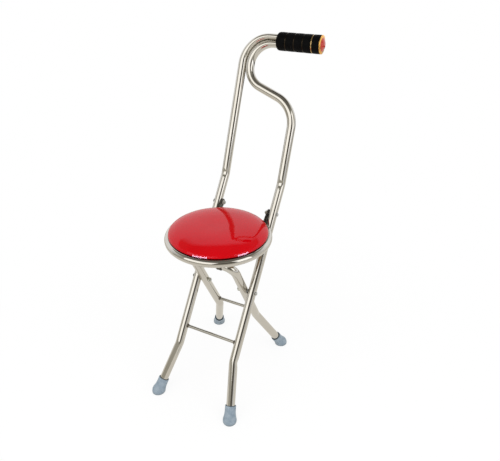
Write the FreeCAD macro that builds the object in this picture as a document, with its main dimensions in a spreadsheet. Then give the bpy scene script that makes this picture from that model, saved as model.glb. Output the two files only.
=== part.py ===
import FreeCAD, Part
import math
import os
import Sketcher
from FreeCAD import Placement, Rotation, Vector

# Folding walking-stick seat: two crossed tube frames, a round padded seat and a sideways hand grip.
# Two side tubes stand at the front, lean back, bend over each other above the seat and carry the grip.
# A rear leg hoop crosses between them, and its crossbar holds the seat up through two saddle clips.
# Frame: +X across towards the grip's lens, +Y from the front feet to the rear feet, +Z up.
# The origin lies on the floor, under the middle of the outer box. Lengths are in mm, angles in degrees.
# The frames and the seat are symmetric about the plane x = 0; the bends above the knee and the grip are not.

# Driving sizes, one plain number each
SIZES = {
    # round tube of both leg frames
    "leg_tube_radius": 11.0,
    "leg_tube_wall": 1.5,
    "side_tube_offset": 81.0,
    "frame_gap": 1.0,
    # side tubes in side view: foot on the floor, foot bend, knee bend, lean above the knee
    "front_foot_out": 109.2,
    "front_foot_back": -234.27,
    "foot_bend_back": -159.39,
    "foot_bend_height": 122.6,
    "knee_bend_back": 105.81,
    "knee_bend_height": 506.6,
    "upper_lean_angle": 20.6,
    "side_bend_radius": 60.0,
    # crook of the left side tube and swan neck of the right one, in the plane above the knee
    "grip_reach": 347.5,
    "crook_radius": 69.5,
    "neck_radius": 76.0,
    "neck_turn_angle": 70.0,
    "return_radius": 54.5,
    "tube_passing_gap": 0.5,
    # the tube ends are pressed oval where they enter the grip
    "oval_half_height": 8.1,
    "oval_half_width": 13.3,
    "oval_gap": 0.3,
    "oval_length": 92.0,
    # rear leg hoop
    "rear_foot_out": 107.8,
    "rear_foot_back": 89.13,
    "rear_bend_back": 14.21,
    "rear_bend_height": 143.2,
    "rear_bend_radius": 50.0,
    "crossbar_height": 370.0,
    "hoop_corner_radius": 28.0,
    # rungs
    "rung_radius": 4.0,
    "front_rung_height": 162.5,
    "rear_rung_height": 173.2,
    # rubber feet
    "foot_length": 40,
    "foot_sole": 12.0,
    "foot_bulge_radius": 17.5,
    "foot_bulge_height": 4,
    "foot_ball_radius": 20,
    "foot_heel_angle": 44.5,
    "foot_flank_angle": 17,
    "foot_collar_radius": 13.9,
    "foot_lip_radius": 0.7,
    "foot_mouth_radius": 12.9,
    "foot_mouth_depth": 6.0,
    "foot_disc_thickness": 1.5,
    # seat ring, board and cushion
    "seat_pivot_reach": 138.44,
    "ring_height": 427.75,
    "ring_radius": 120.5,
    "ring_tube_radius": 9.5,
    "ring_tube_wall": 1.2,
    "board_thickness": 8.0,
    "board_gap": 0.7,
    "cushion_radius": 120.5,
    "cushion_crown": 25,
    "cushion_side_radius": 6.0,
    "cushion_shoulder_radius": 8.0,
    "soft_gap": 0.3,
    # tabs that hold the board
    "tab_length": 26.0,
    "tab_width": 22.0,
    "tab_thickness": 2.5,
    "tab_screw_circle": 99.0,
    "tab_start_angle": 45.0,
    # seat pivot lugs
    "seat_pivot_height": 442.8,
    "lug_thickness": 3.0,
    "lug_pivot_radius": 9.5,
    "lug_ring_radius": 8.0,
    "lug_foot_out": 11.0,
    "lug_foot_drop": 6.2,
    # leg pivot
    "leg_pivot_height": 272.3,
    # pivot bolts, nuts and washers
    "bolt_radius": 3.0,
    "bolt_head_radius": 5.6,
    "bolt_head_height": 3.4,
    "bolt_end": 2.5,
    "running_gap": 0.05,
    "turning_gap": 0.3,
    "nut_radius": 5.8,
    "nut_thickness": 5.0,
    "washer_radius": 7.0,
    # screws into the board
    "screw_radius": 1.9,
    "screw_head_radius": 3.8,
    "screw_head_height": 2.0,
    "screw_depth": 6.0,
    # saddle clips on the crossbar
    "clip_offset": 24.0,
    "clip_width": 13.0,
    "clip_thickness": 1.6,
    "clip_gap": 0.4,
    "clip_mouth_angle": 39.0,
    "clip_flange_length": 17.0,
    # hand grip
    "grip_start": 8.0,
    "grip_length": 114.0,
    "grip_radius": 22.0,
    "grip_end_round": 7.0,
    "band_start": 25.0,
    "band_pitch": 22.5,
    "band_width": 2.2,
    "band_groove_depth": 1.2,
    "band_inset": 0.3,
    "grip_bore_gap": 0.2,
    "bezel_width": 2.2,
    "bezel_lip": 1.0,
    "bezel_edge": 0.8,
    "lens_rise": 5.7,
    "lens_radius": 16.0,
    "lens_stem_radius": 12.0,
    "lens_stem_length": 12.0,
}
BAND_COUNT = 4
TAB_COUNT = 4

document = FreeCAD.newDocument("FoldingCaneSeat")
sheet = document.addObject("Spreadsheet::Sheet", "Sizes")
for row, (alias, number) in enumerate(SIZES.items(), start=1):
    sheet.set(f"A{row}", alias)
    sheet.set(f"B{row}", str(number))
    sheet.setAlias(f"B{row}", alias)
document.recompute()

FINISHED = []


class Measure:
    """A size worked out from the sheet: its number, and the expression that binds a feature to it."""

    def __init__(self, number, text):
        self.number = number
        self.text = text

    def __add__(self, other):
        other = measure(other)
        return Measure(self.number + other.number, f"({self.text} + {other.text})")

    def __sub__(self, other):
        other = measure(other)
        return Measure(self.number - other.number, f"({self.text} - {other.text})")

    def __mul__(self, other):
        other = measure(other)
        return Measure(self.number * other.number, f"({self.text} * {other.text})")

    def __truediv__(self, other):
        other = measure(other)
        return Measure(self.number / other.number, f"({self.text} / {other.text})")

    def __neg__(self):
        return Measure(-self.number, f"(0 - {self.text})")


def measure(value):
    """A Measure as it is, and a plain number as a Measure."""
    if isinstance(value, Measure):
        return value
    return Measure(float(value), str(float(value)))


def size(alias):
    return Measure(float(sheet.get(alias)), f"Sizes.{alias}")


def mm(alias):
    """The plain number of a size."""
    return float(sheet.get(alias))


def sine(angle):
    return Measure(math.sin(math.radians(angle.number)), f"sin({angle.text})")


def cosine(angle):
    return Measure(math.cos(math.radians(angle.number)), f"cos({angle.text})")


def root(value):
    return Measure(math.sqrt(value.number), f"sqrt({value.text})")


ZERO = Measure(0.0, "0")


# Sketches and features of a body
def new_body(label):
    return document.addObject("PartDesign::Body", label)


def new_sketch(body, role):
    """A sketch on one of the body's own origin planes."""
    sketch = body.newObject("Sketcher::SketchObject", body.Name + "_sketch")
    plane = next(item for item in body.Origin.OriginFeatures if item.Role == role)
    sketch.AttachmentSupport = (plane, [""])
    sketch.MapMode = "FlatFace"
    return sketch


def bind(sketch, kind, *elements, value):
    """Add a constraint whose value follows the sheet."""
    number = sketch.addConstraint(Sketcher.Constraint(kind, *elements, value.number))
    if value is not ZERO:
        sketch.setExpression(f"Constraints[{number}]", value.text)


def arc_middle(begin, end, radius, turn):
    """The point halfway along a short arc; turn is 1 for a left turn and -1 for a right turn."""
    chord = end - begin
    rise = radius - math.sqrt(max(radius ** 2 - chord.Length ** 2 / 4, 0.0))
    side = Vector(chord.y, -chord.x, 0).normalize()
    return (begin + end) * 0.5 + side * rise * turn


def outline(sketch, start, moves):
    """A closed outline of ("line", u, v) and ("arc", u, v, radius, turn) moves that ends where it starts."""
    corner = start
    ends = []
    for move in moves:
        begin = Vector(corner[0].number, corner[1].number, 0)
        corner = (measure(move[1]), measure(move[2]))
        end = Vector(corner[0].number, corner[1].number, 0)
        if move[0] == "line":
            edge = sketch.addGeometry(Part.LineSegment(begin, end))
            ends.append((edge, 1, 2))
        else:
            radius, turn = measure(move[3]), move[4]
            middle = arc_middle(begin, end, radius.number, turn)
            edge = sketch.addGeometry(Part.Arc(begin, middle, end))
            ends.append((edge, 1, 2) if turn > 0 else (edge, 2, 1))
            bind(sketch, "Radius", edge, value=radius)
        bind(sketch, "DistanceX", -1, 1, edge, ends[-1][2], value=corner[0])
        bind(sketch, "DistanceY", -1, 1, edge, ends[-1][2], value=corner[1])
    for index, (edge, first, last) in enumerate(ends):
        before = ends[index - 1]
        sketch.addConstraint(Sketcher.Constraint("Coincident", before[0], before[2], edge, first))


def circle(sketch, across, along, radius):
    edge = sketch.addGeometry(Part.Circle(Vector(across.number, along.number, 0), Vector(0, 0, 1), radius.number))
    bind(sketch, "DistanceX", -1, 1, edge, 3, value=across)
    bind(sketch, "DistanceY", -1, 1, edge, 3, value=along)
    bind(sketch, "Radius", edge, value=radius)


def pad(body, sketch, length, both_ways=False):
    feature = body.newObject("PartDesign::Pad", body.Name + "_pad")
    feature.Profile = sketch
    feature.SideType = "Symmetric" if both_ways else "One side"
    feature.setExpression("Length", length.text)
    return feature


def pocket(body, sketch, depth, reverse=False):
    feature = body.newObject("PartDesign::Pocket", body.Name + "_pocket")
    feature.Profile = sketch
    feature.setExpression("Length", depth.text)
    feature.Reversed = reverse
    return feature


def revolve(body, sketch, axis):
    feature = body.newObject("PartDesign::Revolution", body.Name + "_revolution")
    feature.Profile = sketch
    feature.ReferenceAxis = (sketch, [axis])
    feature.Angle = 360.0
    return feature


def polar(body, feature, count):
    """The feature repeated evenly about the body's Z axis."""
    axis = next(item for item in body.Origin.OriginFeatures if item.Role == "Z_Axis")
    pattern = body.newObject("PartDesign::PolarPattern", body.Name + "_pattern")
    pattern.Originals = [feature]
    pattern.Axis = (axis, [""])
    pattern.Angle = 360.0
    pattern.Occurrences = count
    body.Tip = pattern
    return pattern


# Plain solids and booleans
def cylinder(label, radius, height, place):
    piece = document.addObject("Part::Cylinder", label)
    piece.setExpression("Radius", radius.text)
    piece.setExpression("Height", height.text)
    piece.Placement = place
    return piece


def crossways(label, radius, back, height):
    """A cutting rod through the whole stool along X."""
    reach = size("side_tube_offset") * 3
    middle = Vector(-reach.number / 2, back, height)
    return cylinder(label, radius, reach, Placement(middle, Rotation(Vector(0, 0, 1), Vector(1, 0, 0))))


def cut(label, base, tool):
    piece = document.addObject("Part::Cut", label)
    piece.Base = base
    piece.Tool = tool
    return piece


def fuse(label, shapes):
    piece = document.addObject("Part::MultiFuse", label)
    piece.Shapes = shapes
    return piece


def group(label, links):
    piece = document.addObject("Part::Compound", label)
    piece.Links = links
    return piece


def mirrored(label, source):
    """The same piece on the other side of the middle plane."""
    piece = document.addObject("Part::Mirroring", label)
    piece.Source = source
    piece.Normal = Vector(1, 0, 0)
    return piece


def copy_at(label, source, place):
    """One more of the same piece, moved from where its source is drawn."""
    piece = document.addObject("Part::Compound", label)
    piece.Links = [source]
    piece.Placement = place
    return piece


def turned(direction, point):
    """A placement whose local Z axis points along the direction."""
    return Placement(point, Rotation(Vector(0, 0, 1), direction))


def finish(piece, label):
    """Name a sub-part after its file and keep it for the last step."""
    piece.Label = label
    FINISHED.append(piece)
    return piece


# The stool's lines in space
def lean_direction(angle):
    return Vector(0, math.sin(math.radians(angle)), math.cos(math.radians(angle)))


FOOT_BEND = Vector(mm("side_tube_offset"), mm("foot_bend_back"), mm("foot_bend_height"))
KNEE_BEND = Vector(mm("side_tube_offset"), mm("knee_bend_back"), mm("knee_bend_height"))
FRONT_FOOT = Vector(mm("front_foot_out"), mm("front_foot_back"), 0)
UPPER = lean_direction(mm("upper_lean_angle"))
HOOP_OFFSET = mm("side_tube_offset") - 2 * mm("leg_tube_radius") - mm("frame_gap")


def back_at_height(lower, upper, height):
    """How far back a straight tube between two bends stands at a height."""
    share = (height - lower.z) / (upper.z - lower.z)
    return lower.y + (upper.y - lower.y) * share


SEAT_PIVOT = Vector(0, back_at_height(FOOT_BEND, KNEE_BEND, mm("seat_pivot_height")), mm("seat_pivot_height"))
LEG_PIVOT = Vector(0, back_at_height(FOOT_BEND, KNEE_BEND, mm("leg_pivot_height")), mm("leg_pivot_height"))
SEAT_CENTRE = Vector(0, SEAT_PIVOT.y - mm("seat_pivot_reach"), 0)
REAR_FOOT = Vector(mm("rear_foot_out"), mm("rear_foot_back"), 0)
REAR_BEND = Vector(HOOP_OFFSET, mm("rear_bend_back"), mm("rear_bend_height"))
# The hoop's straight legs run from the rear bend through the leg pivot to the crossbar.
HOOP_CORNER = Vector(HOOP_OFFSET, 0, mm("crossbar_height"))
HOOP_CORNER.y = back_at_height(REAR_BEND, Vector(0, LEG_PIVOT.y, LEG_PIVOT.z), HOOP_CORNER.z)


def upper_point(across, along):
    """A point of the plane above the knee bends: across from the middle, along from the knee."""
    return Vector(across, 0, 0) + Vector(0, KNEE_BEND.y, KNEE_BEND.z) + UPPER * along


GRIP_AXIS = upper_point(0, mm("grip_reach"))
OVAL_OFFSET = mm("oval_half_height") + mm("oval_gap") / 2


def heading(angle):
    """A direction in the plane above the knee: 0 points across to the lens, 90 points up the tubes."""
    return Vector(math.cos(math.radians(angle)), 0, 0) + UPPER * math.sin(math.radians(angle))


def bent_edges(corners, radii):
    """Straight edges through the corners, each inner corner rounded by a tangent arc."""
    edges = []
    start = corners[0]
    for corner, after, radius in zip(corners[1:-1], corners[2:], radii):
        inward = (start - corner).normalize()
        outward = (after - corner).normalize()
        half_turn = (math.pi - inward.getAngle(outward)) / 2
        setback = radius * math.tan(half_turn)
        first = corner + inward * setback
        last = corner + outward * setback
        towards = (inward + outward).normalize()
        middle = corner + towards * (radius / math.cos(half_turn) - radius)
        edges.append(Part.LineSegment(start, first).toShape())
        edges.append(Part.Arc(first, middle, last).toShape())
        start = last
    edges.append(Part.LineSegment(start, corners[-1]).toShape())
    return edges


def path(label, edges):
    spine = document.addObject("Part::Feature", label)
    spine.Shape = Part.Wire(edges)
    return spine


def round_run(label, spine, start, direction, radius):
    """A solid round rod swept along the spine."""
    ring = document.addObject("Part::Circle", label + "_section")
    ring.setExpression("Radius", radius.text)
    ring.Placement = turned(direction, start)
    run = document.addObject("Part::Sweep", label)
    run.Sections = [ring]
    run.Spine = (spine, [f"Edge{number + 1}" for number in range(len(spine.Shape.Edges))])
    run.Solid = True
    return run


def bend_point(centre, radius, travel):
    """A point of a right-hand bend in the upper plane where the tube travels along the heading."""
    across = centre[0] - radius * math.sin(math.radians(travel))
    along = centre[1] + radius * math.cos(math.radians(travel))
    return upper_point(across, along)


def pressed_end(label, centre, radius, inset):
    """The last quarter bend, pressed from round to oval, and the oval run inside the grip."""
    steps = 5
    sections = []
    for step in range(steps + 1):
        share = step / steps
        travel = 90.0 * (1 - share)
        half_width = size("leg_tube_radius") * (1 - share) + size("oval_half_width") * share - inset
        half_height = size("leg_tube_radius") * (1 - share) + size("oval_half_height") * share - inset
        oval = document.addObject("Part::Ellipse", f"{label}_oval{step}")
        oval.setExpression("MajorRadius", half_width.text)
        oval.setExpression("MinorRadius", half_height.text)
        sideways = heading(travel).cross(heading(travel + 90))
        turn = Rotation(sideways, heading(travel + 90), heading(travel), "ZXY")
        oval.Placement = Placement(bend_point(centre, radius, travel), turn)
        sections.append(oval)
    loft = document.addObject("Part::Loft", label + "_loft")
    loft.Sections = sections
    loft.Solid = True
    run = document.addObject("Part::Extrusion", label + "_run")
    run.Base = sections[-1]
    run.DirMode = "Custom"
    run.Dir = Vector(1, 0, 0)
    run.setExpression("LengthFwd", size("oval_length").text)
    run.Solid = True
    return [loft, run]


def foot_seat(foot, bend):
    """Where a tube ends inside its rubber foot, on top of the steel disc, and the leg's direction."""
    direction = (bend - foot).normalize()
    return foot + direction * (mm("foot_sole") + mm("foot_disc_thickness")), direction


def side_tube(label, side, upper_edges, centre, radius):
    """A side tube: two bends below, its own bends above the knee, and the pressed end; bored hollow."""
    mirror = Vector(side, 1, 1)
    foot = Vector(FRONT_FOOT.x * mirror.x, FRONT_FOOT.y, 0)
    bend = Vector(FOOT_BEND.x * mirror.x, FOOT_BEND.y, FOOT_BEND.z)
    knee = Vector(KNEE_BEND.x * mirror.x, KNEE_BEND.y, KNEE_BEND.z)
    start, direction = foot_seat(foot, bend)
    top = upper_edges[0].firstVertex().Point if upper_edges else bend_point(centre, radius, 90)
    lower_edges = bent_edges([start, bend, knee, top], [mm("side_bend_radius")] * 2)
    spine = path(label + "_spine", lower_edges + upper_edges)
    wall = size("leg_tube_wall")
    outside = [round_run(label + "_outer", spine, start, direction, size("leg_tube_radius"))]
    inside = [round_run(label + "_inner", spine, start, direction, size("leg_tube_radius") - wall)]
    outside += pressed_end(label + "_end", centre, radius, ZERO)
    inside += pressed_end(label + "_bore", centre, radius, wall)
    solid = fuse(label + "_solid", outside)
    return solid, cut(label + "_hollow", solid, fuse(label + "_hole", inside))


def crook_tube():
    """Left side tube: straight up from the knee and one quarter bend into the upper half of the grip."""
    along = mm("grip_reach") + OVAL_OFFSET - mm("crook_radius")
    centre = (mm("crook_radius") - mm("side_tube_offset"), along)
    return side_tube("left_tube", -1, [], centre, mm("crook_radius"))


def neck_tube():
    """Right side tube: a left-hand neck bend, a straight, and a long return bend beside the crook."""
    turn = mm("neck_turn_angle")
    travel = 90 + turn
    across = -mm("side_tube_offset") + 2 * mm("leg_tube_radius") + mm("tube_passing_gap")
    centre = (across + mm("return_radius"), mm("grip_reach") - OVAL_OFFSET - mm("return_radius"))
    after = bend_point(centre, mm("return_radius"), travel)
    neck = mm("neck_radius")
    neck_centre_across = mm("side_tube_offset") - neck
    neck_end_across = neck_centre_across + neck * math.sin(math.radians(travel))
    straight = (after.x - neck_end_across) / math.cos(math.radians(travel))
    before = after - heading(travel) * straight
    # The neck's centre lies square to the heading at the point where the bend ends.
    neck_centre = before + heading(travel + 90) * neck
    neck_start = neck_centre + heading(0) * neck
    neck_middle = neck_centre + heading(turn / 2) * neck
    return_middle = bend_point(centre, mm("return_radius"), 90 + turn / 2)
    return_side = bend_point(centre, mm("return_radius"), 90)
    edges = [
        Part.Arc(neck_start, neck_middle, before).toShape(),
        Part.LineSegment(before, after).toShape(),
        Part.Arc(after, return_middle, return_side).toShape(),
    ]
    return side_tube("right_tube", 1, edges, centre, mm("return_radius"))


# Both pivot bolts pass through the side tubes, so their holes are drilled through every tube.
bolt_hole = size("bolt_radius") + size("running_gap")
seat_drill = crossways("seat_pivot_drill", bolt_hole, SEAT_PIVOT.y, SEAT_PIVOT.z)
leg_drill = crossways("leg_pivot_drill", bolt_hole, LEG_PIVOT.y, LEG_PIVOT.z)
drills = group("pivot_drills", [seat_drill, leg_drill])
left_solid, left_hollow = crook_tube()
right_solid, right_hollow = neck_tube()
finish(cut("side_tube_left_drilled", left_hollow, drills), "side_tube_left")
finish(cut("side_tube_right_drilled", right_hollow, drills), "side_tube_right")


def hoop():
    """Rear leg hoop: one tube from the left rear foot over the crossbar to the right rear foot."""
    start, direction = foot_seat(REAR_FOOT, REAR_BEND)
    right = [start, REAR_BEND, HOOP_CORNER]
    left = [Vector(-point.x, point.y, point.z) for point in reversed(right)]
    radii = [mm("rear_bend_radius"), mm("hoop_corner_radius"), mm("hoop_corner_radius"), mm("rear_bend_radius")]
    spine = path("hoop_spine", bent_edges(right + left, radii))
    outer = round_run("hoop_outer", spine, start, direction, size("leg_tube_radius"))
    inner = round_run("hoop_inner", spine, start, direction, size("leg_tube_radius") - size("leg_tube_wall"))
    return outer, cut("hoop_hollow", outer, inner)


hoop_solid, hoop_hollow = hoop()
finish(cut("rear_leg_hoop_drilled", hoop_hollow, leg_drill), "rear_leg_hoop")


def rung(label, half_span, back, height, tubes):
    """A round rod between two tubes, its ends cut to the tubes' curve."""
    place = turned(Vector(1, 0, 0), Vector(-half_span.number, back, height))
    rod = cylinder(label + "_rod", size("rung_radius"), half_span * 2, place)
    return cut(label + "_fitted", rod, tubes)


front_back = back_at_height(FOOT_BEND, KNEE_BEND, mm("front_rung_height"))
rear_back = back_at_height(REAR_BEND, HOOP_CORNER, mm("rear_rung_height"))
side_tubes = group("side_tube_solids", [left_solid, right_solid])
hoop_offset = size("side_tube_offset") - size("leg_tube_radius") * 2 - size("frame_gap")
front_rung = rung("front_rung", size("side_tube_offset"), front_back, mm("front_rung_height"), side_tubes)
finish(front_rung, "front_rung")
finish(rung("rear_rung", hoop_offset, rear_back, mm("rear_rung_height"), hoop_solid), "rear_rung")


# Rubber feet: a round ball that narrows to a collar, with a flared mouth round the tube
def foot_form(label):
    body = new_body(label)
    sketch = new_sketch(body, "XZ_Plane")
    tube = size("leg_tube_radius")
    collar = size("foot_collar_radius")
    ball = size("foot_ball_radius")
    ball_up = size("foot_bulge_height")
    ball_out = size("foot_bulge_radius") - ball
    heel = size("foot_heel_angle")
    flank = size("foot_flank_angle")
    top = size("foot_length")
    lip = size("foot_lip_radius")
    mouth = size("foot_mouth_radius")
    sole = size("foot_sole")
    bottom = ball_up - ball * sine(heel)
    # The flank is an arc that leaves the ball and meets the collar without a corner.
    hollow = (ball_out + ball * cosine(flank) - collar) / (-cosine(flank) + 1)
    outline(sketch, (ZERO, bottom), [
        ("line", ball_out + ball * cosine(heel), bottom),
        ("arc", ball_out + ball, ball_up, ball, 1),
        ("arc", ball_out + ball * cosine(flank), ball_up + ball * sine(flank), ball, 1),
        ("arc", collar, ball_up + (ball + hollow) * sine(flank), hollow, -1),
        ("line", collar, top - lip),
        ("arc", collar - lip, top, lip, 1),
        ("line", mouth, top),
        ("line", tube, top - size("foot_mouth_depth")),
        ("line", tube, sole),
        ("line", ZERO, sole),
        ("line", ZERO, bottom),
    ])
    revolve(body, sketch, "V_Axis")
    return body


def rubber_foot(label, foot, bend):
    """A foot along its leg, cut flat by the floor."""
    body = foot_form(label + "_form")
    body.Placement = turned((bend - foot).normalize(), foot)
    floor = document.addObject("Part::Box", label + "_floor")
    block = size("foot_length") * 2
    for side in ("Length", "Width", "Height"):
        floor.setExpression(side, block.text)
    floor.Placement.Base = foot - Vector(block.number / 2, block.number / 2, block.number)
    return cut(label, body, floor)


def foot_disc(label, foot, bend):
    """A steel disc in the foot's socket, under the tube end."""
    direction = (bend - foot).normalize()
    place = turned(direction, foot + direction * mm("foot_sole"))
    return cylinder(label, size("leg_tube_radius") - size("turning_gap"), size("foot_disc_thickness"), place)


for name, foot, bend in (("front", FRONT_FOOT, FOOT_BEND), ("rear", REAR_FOOT, REAR_BEND)):
    right_foot = rubber_foot(f"{name}_right_foot", foot, bend)
    finish(right_foot, f"rubber_foot_{name}_right")
    finish(mirrored(f"{name}_left_foot", right_foot), f"rubber_foot_{name}_left")
    right_disc = foot_disc(f"{name}_right_disc", foot, bend)
    discs = [right_disc, mirrored(f"{name}_left_disc", right_disc)]
    finish(group(f"{name}_discs", discs), f"foot_discs_{name}")


# Pivot bolts: a domed head outside the side tube, a plain shank through both walls, a nut inside
def bolt(label, length, point):
    body = new_body(label)
    sketch = new_sketch(body, "XZ_Plane")
    shank = size("bolt_radius")
    head = size("bolt_head_radius")
    rise = size("bolt_head_height")
    dome = (head * head + rise * rise) / (rise * 2)
    outline(sketch, (ZERO, ZERO), [
        ("line", shank - 0.5, ZERO),
        ("line", shank, 0.5),
        ("line", shank, length),
        ("line", head, length),
        ("arc", ZERO, length + rise, dome, 1),
        ("line", ZERO, ZERO),
    ])
    revolve(body, sketch, "V_Axis")
    body.Placement = turned(Vector(1, 0, 0), point)
    return body


def hex_nut(label, point):
    body = new_body(label)
    sketch = new_sketch(body, "XY_Plane")
    corners = []
    for index in range(6):
        angle = measure(60.0 * index)
        corners.append((size("nut_radius") * cosine(angle), size("nut_radius") * sine(angle)))
    outline(sketch, corners[0], [("line", *corner) for corner in corners[1:] + corners[:1]])
    circle(sketch, ZERO, ZERO, size("bolt_radius") + size("running_gap"))
    pad(body, sketch, size("nut_thickness"))
    body.Placement = turned(Vector(1, 0, 0), point)
    return body


def washer(label, point, thickness):
    body = new_body(label)
    sketch = new_sketch(body, "XY_Plane")
    circle(sketch, ZERO, ZERO, size("washer_radius"))
    circle(sketch, ZERO, ZERO, size("bolt_radius") + size("running_gap"))
    pad(body, sketch, thickness)
    body.Placement = turned(Vector(1, 0, 0), point)
    return body


def pivot_set(name, pivot, nut_face):
    """The right-hand bolt, nut and washer of a pivot, and their mirror images."""
    outer_wall = size("side_tube_offset") + size("leg_tube_radius")
    inner_wall = size("side_tube_offset") - size("leg_tube_radius")
    thickness = size("frame_gap") - size("turning_gap")
    nut_start = nut_face - size("nut_thickness")
    bolt_start = nut_start - size("bolt_end")
    right = {
        "bolts": bolt(f"{name}_bolt", outer_wall - bolt_start, Vector(bolt_start.number, pivot.y, pivot.z)),
        "nuts": hex_nut(f"{name}_nut", Vector(nut_start.number, pivot.y, pivot.z)),
        "washers": washer(f"{name}_washer", Vector((inner_wall - thickness).number, pivot.y, pivot.z), thickness),
    }
    for kind, piece in right.items():
        both = group(f"{name}_{kind}_pair", [piece, mirrored(f"{name}_{kind}_left", piece)])
        finish(both, f"{name}_{kind}")


lug_outside = size("side_tube_offset") - size("leg_tube_radius") - size("frame_gap")
lug_inside = lug_outside - size("lug_thickness")
hoop_inside = hoop_offset - size("leg_tube_radius")
pivot_set("seat_pivot", SEAT_PIVOT, lug_inside - size("turning_gap"))
pivot_set("leg_pivot", LEG_PIVOT, hoop_inside - size("turning_gap"))


# Seat: ring, board, tabs, cushion, lugs and clips
def seat_ring():
    body = new_body("ring")
    sketch = new_sketch(body, "XZ_Plane")
    circle(sketch, size("ring_radius"), ZERO, size("ring_tube_radius"))
    circle(sketch, size("ring_radius"), ZERO, size("ring_tube_radius") - size("ring_tube_wall"))
    revolve(body, sketch, "V_Axis")
    body.Placement.Base = SEAT_CENTRE + Vector(0, 0, mm("ring_height"))
    return body


def ring_envelope():
    """The ring's outer form, which shapes what is welded to it."""
    torus = document.addObject("Part::Torus", "ring_envelope")
    torus.setExpression("Radius1", "Sizes.ring_radius")
    torus.setExpression("Radius2", "Sizes.ring_tube_radius")
    torus.Placement.Base = SEAT_CENTRE + Vector(0, 0, mm("ring_height"))
    return torus


ring_form = ring_envelope()
finish(seat_ring(), "seat_ring")
ring_top = size("ring_height") + size("ring_tube_radius")
board_bottom = ring_top - size("board_thickness")
screw_hole = size("screw_radius") + size("running_gap")
clip_screw_back = measure(HOOP_CORNER.y) - size("clip_flange_length") * 0.55


def seat_board():
    """A plywood disc inside the ring, with blind screw holes in its underside."""
    body = new_body("board")
    sketch = new_sketch(body, "XY_Plane")
    circle(sketch, ZERO, ZERO, size("ring_radius") - size("ring_tube_radius") - size("board_gap"))
    pad(body, sketch, size("board_thickness"))
    tab_sketch = new_sketch(body, "XY_Plane")
    angle = size("tab_start_angle")
    reach = size("tab_screw_circle")
    circle(tab_sketch, reach * cosine(angle), reach * sine(angle), screw_hole)
    hole = pocket(body, tab_sketch, size("screw_depth") + 0.5, reverse=True)
    document.recompute()
    polar(body, hole, TAB_COUNT)
    clip_sketch = new_sketch(body, "XY_Plane")
    for across in (size("clip_offset"), -size("clip_offset")):
        circle(clip_sketch, across, clip_screw_back - measure(SEAT_CENTRE.y), screw_hole)
    pocket(body, clip_sketch, size("screw_depth") + 0.5, reverse=True)
    body.Placement.Base = SEAT_CENTRE + Vector(0, 0, board_bottom.number)
    return body


finish(seat_board(), "seat_board")


def screw(label, head_depth, point):
    """A pan-head screw, drawn upwards from the underside of what it holds."""
    body = new_body(label)
    sketch = new_sketch(body, "XZ_Plane")
    shank = size("screw_radius")
    head = size("screw_head_radius")
    rise = size("screw_head_height")
    outline(sketch, (ZERO, -rise), [
        ("line", head * 0.6, -rise),
        ("arc", head, ZERO, head, 1),
        ("line", shank, ZERO),
        ("line", shank, head_depth + size("screw_depth") - 1.5),
        ("line", ZERO, head_depth + size("screw_depth")),
        ("line", ZERO, -rise),
    ])
    revolve(body, sketch, "V_Axis")
    body.Placement.Base = point
    return body


def tab():
    """A flat steel tab welded inside the ring under the board, with a screw hole."""
    plate = document.addObject("Part::Box", "tab_plate")
    plate.setExpression("Length", size("tab_length").text)
    plate.setExpression("Width", size("tab_width").text)
    plate.setExpression("Height", size("tab_thickness").text)
    inner = mm("ring_radius") - mm("ring_tube_radius") + 4.0 - mm("tab_length")
    low = board_bottom.number - mm("tab_thickness")
    plate.Placement.Base = SEAT_CENTRE + Vector(inner, -mm("tab_width") / 2, low)
    hole_place = Placement(SEAT_CENTRE + Vector(mm("tab_screw_circle"), 0, low - 1), Rotation())
    hole = cylinder("tab_hole", screw_hole, size("tab_thickness") + 2.0, hole_place)
    fitted = cut("tab_fitted", plate, ring_form)
    return cut("tab", fitted, hole)


def around_seat(label, source):
    """Copies of a piece spread evenly about the seat's axis."""
    copies = []
    for step in range(TAB_COUNT):
        turn = Rotation(Vector(0, 0, 1), mm("tab_start_angle") + 360.0 / TAB_COUNT * step)
        copies.append(copy_at(f"{label}{step}", source, Placement(Vector(), turn, SEAT_CENTRE)))
    return group(label, copies)


tab_bottom = board_bottom - size("tab_thickness")
tab_screw_point = SEAT_CENTRE + Vector(mm("tab_screw_circle"), 0, tab_bottom.number)
finish(around_seat("tabs", tab()), "board_tabs")
finish(around_seat("tab_screws", screw("tab_screw", size("tab_thickness"), tab_screw_point)), "board_tab_screws")


def seat_cushion():
    """A round cushion: flat below, sides drawn in to the ring, a rolled shoulder and a low crown."""
    body = new_body("cushion")
    sketch = new_sketch(body, "XZ_Plane")
    widest = size("cushion_radius")
    side = size("cushion_side_radius")
    shoulder = size("cushion_shoulder_radius")
    crown = size("cushion_crown")
    rise = crown - side - shoulder
    reach = widest - shoulder
    outline(sketch, (ZERO, ZERO), [
        ("line", widest - side, ZERO),
        ("arc", widest, side, side, 1),
        ("arc", reach, side + shoulder, shoulder, 1),
        ("arc", ZERO, crown, (reach * reach + rise * rise) / (rise * 2), 1),
        ("line", ZERO, ZERO),
    ])
    revolve(body, sketch, "V_Axis")
    body.Placement.Base = SEAT_CENTRE + Vector(0, 0, (ring_top + size("soft_gap")).number)
    return body


finish(seat_cushion(), "seat_cushion")


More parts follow.
